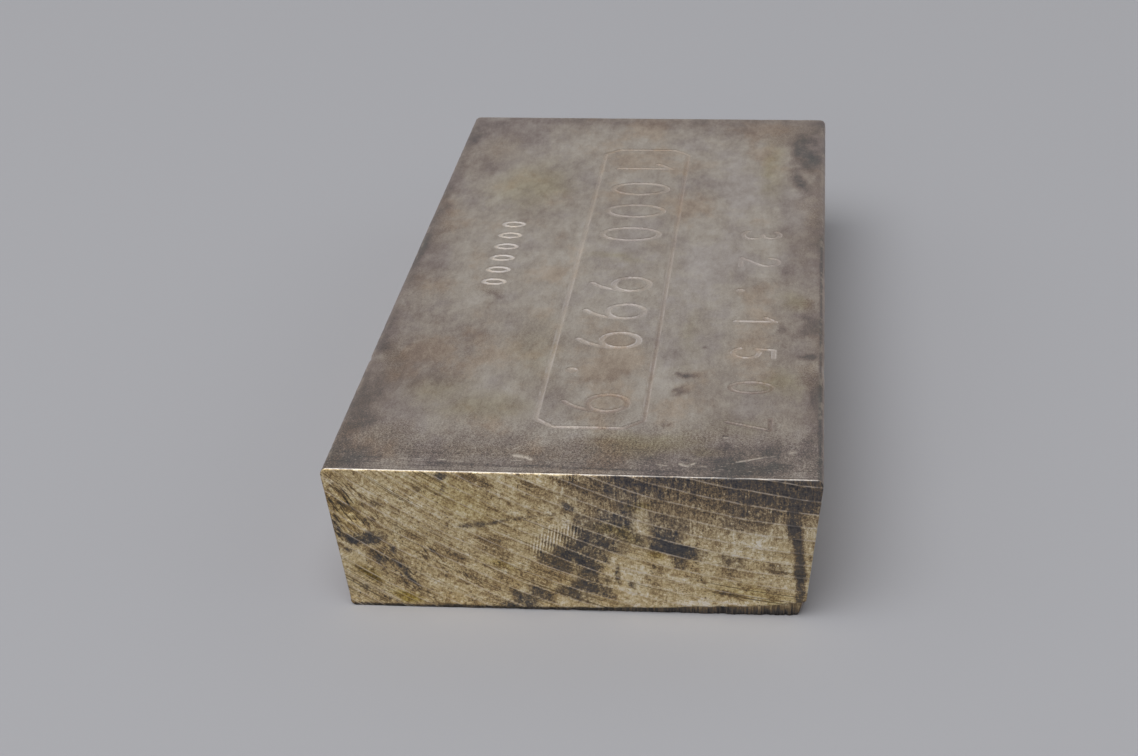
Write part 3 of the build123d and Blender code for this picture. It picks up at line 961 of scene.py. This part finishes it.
def tarnished_silver():
    """Tarnished silver under a film that runs from straw through brown to slate as it thickens, with painted
    highlights and painted shade in places.
    """
    material = bpy.data.materials.new("tarnished_silver")
    s = Shader(material)
    place = s.scaled(s.node("ShaderNodeTexCoord").outputs["Object"], 1 / MM, 1 / MM, 1 / MM)
    grain = s.node("ShaderNodeAttribute", attribute_name="grain").outputs["Vector"]
    sawn, torn, on_right = s.field("sawn"), s.field("torn"), s.field("upright")
    near_band = s.field("near_band")

    # Fine structure: cast skin is drawn out along the bar, and sawn metal along the saw's arcs or upright
    drawn = s.scaled(place, 1, 0.36, 1)
    speckle = s.noise(drawn, 3.4, 3, 0.75)
    grit = s.noise(place, 5.5, 2, 0.7)
    fine = s.noise(place, 10.0, 2, 0.6)
    blotch = s.noise(drawn, 0.9, 5, 0.7)
    cloud = s.noise(s.scaled(place, 0.16, 0.08, 0.16), 1.0, 4, 0.6)
    haze = s.noise(s.scaled(place, 0.1, 0.06, 0.1), 1.0, 5, 0.65)
    arcs = s.noise(s.scaled(grain, 4.5, 0.5, 1), 1.0, 3, 0.75)
    lines = s.noise(s.scaled(grain, 7.0, 0.06, 1), 1.0, 1, 0.5)
    upright = s.noise(s.scaled(place, 4.6, 4.6, 0.8), 1.0, 3, 0.7)
    fibres = s.noise(s.scaled(place, 4.6, 4.6, 0.4), 1.0, 3, 0.7)
    slid = s.noise(s.scaled(s.turned(place, 34), 5.0, 1, 0.55), 1.0, 2, 0.6)
    ruled = s.noise(s.scaled(place, 0.12, 5.0, 1), 1.0, 1, 0.5)
    crumbs = s.noise(s.scaled(place, 2.2, 4.0, 1), 1.0, 2, 0.6)
    pits = s.step(s.noise(s.scaled(grain, 5.5, 2.8, 1), 1.0, 3, 0.8), 0.56, 0.64)
    clusters = s.step(s.noise(place, 0.4, 3, 0.6), 0.45, 0.58, 0.25, 1)
    score = s.times(s.step(slid, 0.51, 0.57), s.field("scored"))
    phase = s.times(s.along("X", s.turned(place, -8)), TOOTH_TURN)
    wave = s.math("SINE", s.sum(phase, s.about(speckle, 5.0)))

    # How much the film's thickness swings on sawn metal, on cast skin and on torn metal
    on_sawn = s.sum(
        s.about(speckle, 1.15), s.about(fine, 0.5), s.about(blotch, 0.8),
        s.times(s.about(upright, 0.6), on_right),
        s.times(s.about(arcs, 0.65), s.less(1.15, on_right)),
        s.times(score, 0.56), s.times(s.field("comb"), wave, -0.34),
    )
    on_skin = s.sum(
        s.times(s.sum(s.about(speckle, 0.3), s.about(grit, 0.5), s.about(fine, 0.4)), s.field("crisp")),
        s.about(blotch, 0.34), s.about(cloud, 0.25),
        s.times(s.step(ruled, 0.62, 0.68), near_band, 0.16),
    )
    on_tear = s.sum(s.about(fibres, 1.3), s.about(speckle, 0.5))
    cut = s.math("ADD", sawn, torn, clamp=True)
    swing = s.sum(s.times(on_sawn, sawn), s.times(on_tear, torn), s.times(on_skin, s.less(1.0, cut)))
    film = s.sum(s.field("tarnish_and_shade"), swing, s.times(pits, clusters, sawn, 0.5))

    # Thick film stands in ragged patches, which are drawn out upright on the right half of the near end
    drawn_out = s.times(s.about(upright, 0.9), on_right)
    edge = s.math("MULTIPLY_ADD", cut, 0.6, 0.4)
    frayed = s.sum(s.about(blotch, 1.8), s.about(grit, 1.8), s.about(fine, 0.8), drawn_out)
    ragged = s.sum(1.0, s.times(frayed, edge))
    crumbled = s.sum(1.0, s.about(blotch, -1.5), s.about(grit, 2.4), s.about(fine, 1.2), drawn_out)
    full_slate = s.math("MULTIPLY_ADD", cut, -0.35, 1.3)
    slate_cover = s.step(s.times(s.field("slate"), ragged), 0.05, full_slate)
    brown_cover = s.step(s.times(s.field("brown"), crumbled), 0.06, 0.85)
    film = s.sum(film, s.times(brown_cover, s.math("MULTIPLY_ADD", sawn, 0.18, 0.16)))
    thick = s.math("MULTIPLY_ADD", swing, 0.55, s.math("MULTIPLY_ADD", cut, 0.03, 0.8))
    film = s.math("ADD", film, s.times(slate_cover, s.less(thick, film)), clamp=True)

    # Colour of the film
    on_cast = s.ramp(film, FILM_ON_CAST)
    on_cast = s.tint(on_cast, WARM_SKIN, s.step(haze, 0.5, 0.64, 0, 0.5))
    on_cast = s.tint(on_cast, COOL_SKIN, s.step(haze, 0.5, 0.38, 0, 0.5))
    on_cast = s.tint(on_cast, BROWN_SKIN, brown_cover, 0.5)
    colour = s.mix(cut, on_cast, s.ramp(film, FILM_ON_CUT))
    open_cut = s.math("MULTIPLY_ADD", on_right, -0.8, cut)
    warmth = s.math("MULTIPLY", s.step(haze, 0.5, 0.64, 0.15, 0.5), open_cut, clamp=True)
    colour = s.tint(colour, WARM_CUT, warmth)
    colour = s.tint(colour, COOL_SLATE, s.sum(s.times(slate_cover, s.field("cool")), s.times(torn, 0.35)))
    colour = s.tint(colour, COOL_UPRIGHT, on_right, 0.35)
    colour = s.tint(colour, OLIVE, s.field("olive"), 0.95)

    # Painted highlights on the crests of the saw marks, and thin dark lines and painted glints along them on
    # the left half
    ridge = s.math("FRACT", s.sum(s.field("ridge"), 0.5))
    crest_highlight = s.step(s.math("ABSOLUTE", s.less(ridge, 0.485)), 0.07, 0.015)
    colour = s.lay(colour, SAW_CREST_HIGHLIGHT, crest_highlight, s.step(arcs, 0.66, 0.42), s.field("crest_highlight"), 0.5)
    left_cut = s.times(sawn, s.step(on_right, 1.0, 0.3))
    colour = s.lay(colour, DARK_LINE, s.step(lines, 0.655, 0.68), left_cut, 0.75)
    # Painted glints along the thin lines, only where no slate film lies
    open_metal = s.times(left_cut, s.less(1.0, slate_cover))
    colour = s.lay(colour, GLINT_LINE, s.step(lines, 0.345, 0.315), open_metal, 0.4)

    # Worn rim with a painted highlight, scratches that bare the silver, rubbed long edges, and a painted
    # highlight over partly bared metal on the banks of the stamped strokes
    worn = s.times(s.step(s.field("rim"), 0.3, 0.9), s.step(blotch, 0.1, 0.4, 0.5, 1))
    colour = s.lay(colour, WORN_RIM_HIGHLIGHT, worn, 0.85)
    flecks = s.times(s.step(crumbs, 0.61, 0.68), near_band, 0.4)
    bare = s.math("MULTIPLY", s.field("bared"), s.step(speckle, 0.36, 0.52), clamp=True)
    colour = s.lay(colour, BARE_SILVER, s.math("MAXIMUM", flecks, bare))
    colour = s.lay(colour, RUBBED_EDGE, s.field("long_edge"), s.step(blotch, 0.48, 0.62), 0.4)
    # Painted highlight on the banks of the stamped strokes, over partly bared metal
    stamp = s.field("stamp")
    bank_highlight = s.times(s.step(stamp, 0.05, 0.35), s.step(stamp, 0.95, 0.5, 0.5, 1))
    bank_highlight_share = s.times(s.field("bank_highlight_share"), s.step(blotch, 0.4, 0.6, 0.15, 1.0))
    colour = s.lay(colour, STAMP_BANK_HIGHLIGHT, bank_highlight, bank_highlight_share)

    # Relief too fine for the mesh, in millimetres
    height = s.sum(
        s.times(arcs, sawn, 0.02), s.times(upright, sawn, 0.02), s.times(fibres, torn, 0.05),
        s.times(speckle, 0.02), s.times(fine, 0.008),
    )
    bump = s.node("ShaderNodeBump", {"Height": height, "Strength": 1.0, "Distance": MM})
    roughness = s.sum(
        s.step(film, 0.2, 0.9, *ROUGHNESS), s.about(blotch, 0.2), s.times(s.step(stamp, 0.02, 0.3), 0.3),
    )
    s.feed(s.inputs["Base Color"], colour)
    s.feed(s.inputs["Metallic"], s.step(film, 0.35, 0.9, *METALLIC))
    s.feed(s.inputs["Roughness"], roughness)
    s.feed(s.inputs["Normal"], bump.outputs["Normal"])
    return material


def pale_floor():
    """A plain pale floor, very slightly uneven in its grey."""
    material = bpy.data.materials.new("pale_floor")
    s = Shader(material)
    clouds = s.noise(s.node("ShaderNodeTexCoord").outputs["Object"], 3.0)
    s.feed(s.inputs["Base Color"], s.mix(clouds, *(linear(*shade) for shade in FLOOR_GREYS)))
    s.feed(s.inputs["Roughness"], 0.9)
    s.feed(s.inputs["Specular IOR Level"], 0.1)
    return material


bar = make_bar()
bar.data.materials.append(tarnished_silver())
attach(bar, "root")
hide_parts("ingot")


# Floor, light and camera

# The photograph's viewpoint, found from the bar's corners: place in mm, and turn, rise and roll in degrees
CAMERA_PLACE = (24.141, -267.654, 122.715)
CAMERA_ANGLES = (6.4981, 24.4386, -1.5367)
SENSOR_WIDTH = 36.0
FOCAL_LENGTH = 72.76

# Light of the studio's walls by the height of a direction, from below the floor to the dark ceiling
WALL_LIGHT = ((0.0, 0.38), (0.35, 0.56), (0.55, 0.5), (0.85, 0.06), (1.0, 0.03))
WALL_TINT = (0.97, 0.985, 1.0, 1.0)


def make_floor(half=4.0):
    mesh = bpy.data.meshes.new("floor")
    corners = [(-half, -half, 0), (half, -half, 0), (half, half, 0), (-half, half, 0)]
    mesh.from_pydata(corners, [], [(0, 1, 2, 3)])
    mesh.materials.append(pale_floor())
    floor = link(bpy.data.objects.new("floor", mesh))


def softbox(name, place, aim, size, watts, tint=(1, 1, 1)):
    """A round soft lamp at a place, in metres, turned to what it is aimed at."""
    lamp = bpy.data.lights.new(name, "AREA")
    lamp.shape, lamp.size, lamp.energy, lamp.color = "DISK", size, watts, tint
    held = link(bpy.data.objects.new(name, lamp))
    held.location = Vector(place)
    held.rotation_euler = (Vector(aim) - Vector(place)).to_track_quat("-Z", "Y").to_euler()


def make_camera():
    turn, rise, roll = (math.radians(angle) for angle in CAMERA_ANGLES)
    lens = bpy.data.cameras.new("camera")
    lens.sensor_fit, lens.sensor_width, lens.lens = "HORIZONTAL", SENSOR_WIDTH, FOCAL_LENGTH
    lens.clip_start, lens.clip_end = 0.01, 20
    camera = link(bpy.data.objects.new("camera", lens))
    camera.matrix_world = (
        Matrix.Translation(Vector(CAMERA_PLACE) * MM) @ Matrix.Rotation(turn, 4, "Z")
        @ Matrix.Rotation(math.pi / 2 - rise, 4, "X") @ Matrix.Rotation(roll, 4, "Z")
    )
    bpy.context.scene.camera = camera


def make_world():
    """Pale studio walls under a dark ceiling."""
    world = bpy.data.worlds.new("studio")
    s = Shader(world, "Background")
    rise = s.along("Z", s.node("ShaderNodeTexCoord").outputs["Generated"])
    s.feed(s.inputs["Strength"], s.ramp(rise, WALL_LIGHT, grey))
    s.feed(s.inputs["Color"], WALL_TINT)
    bpy.context.scene.world = world


make_floor()
make_world()
softbox("key", place=(-0.68, -1.05, 2.8), aim=(0, 0, 0), size=3.3, watts=64.0, tint=(0.985, 0.985, 1.0))
softbox("fill", place=(-0.2, -0.9, 0.2), aim=(0, 0, 0.01), size=0.5, watts=1.2)
make_camera()
bpy.context.scene.view_settings.view_transform = "Standard"
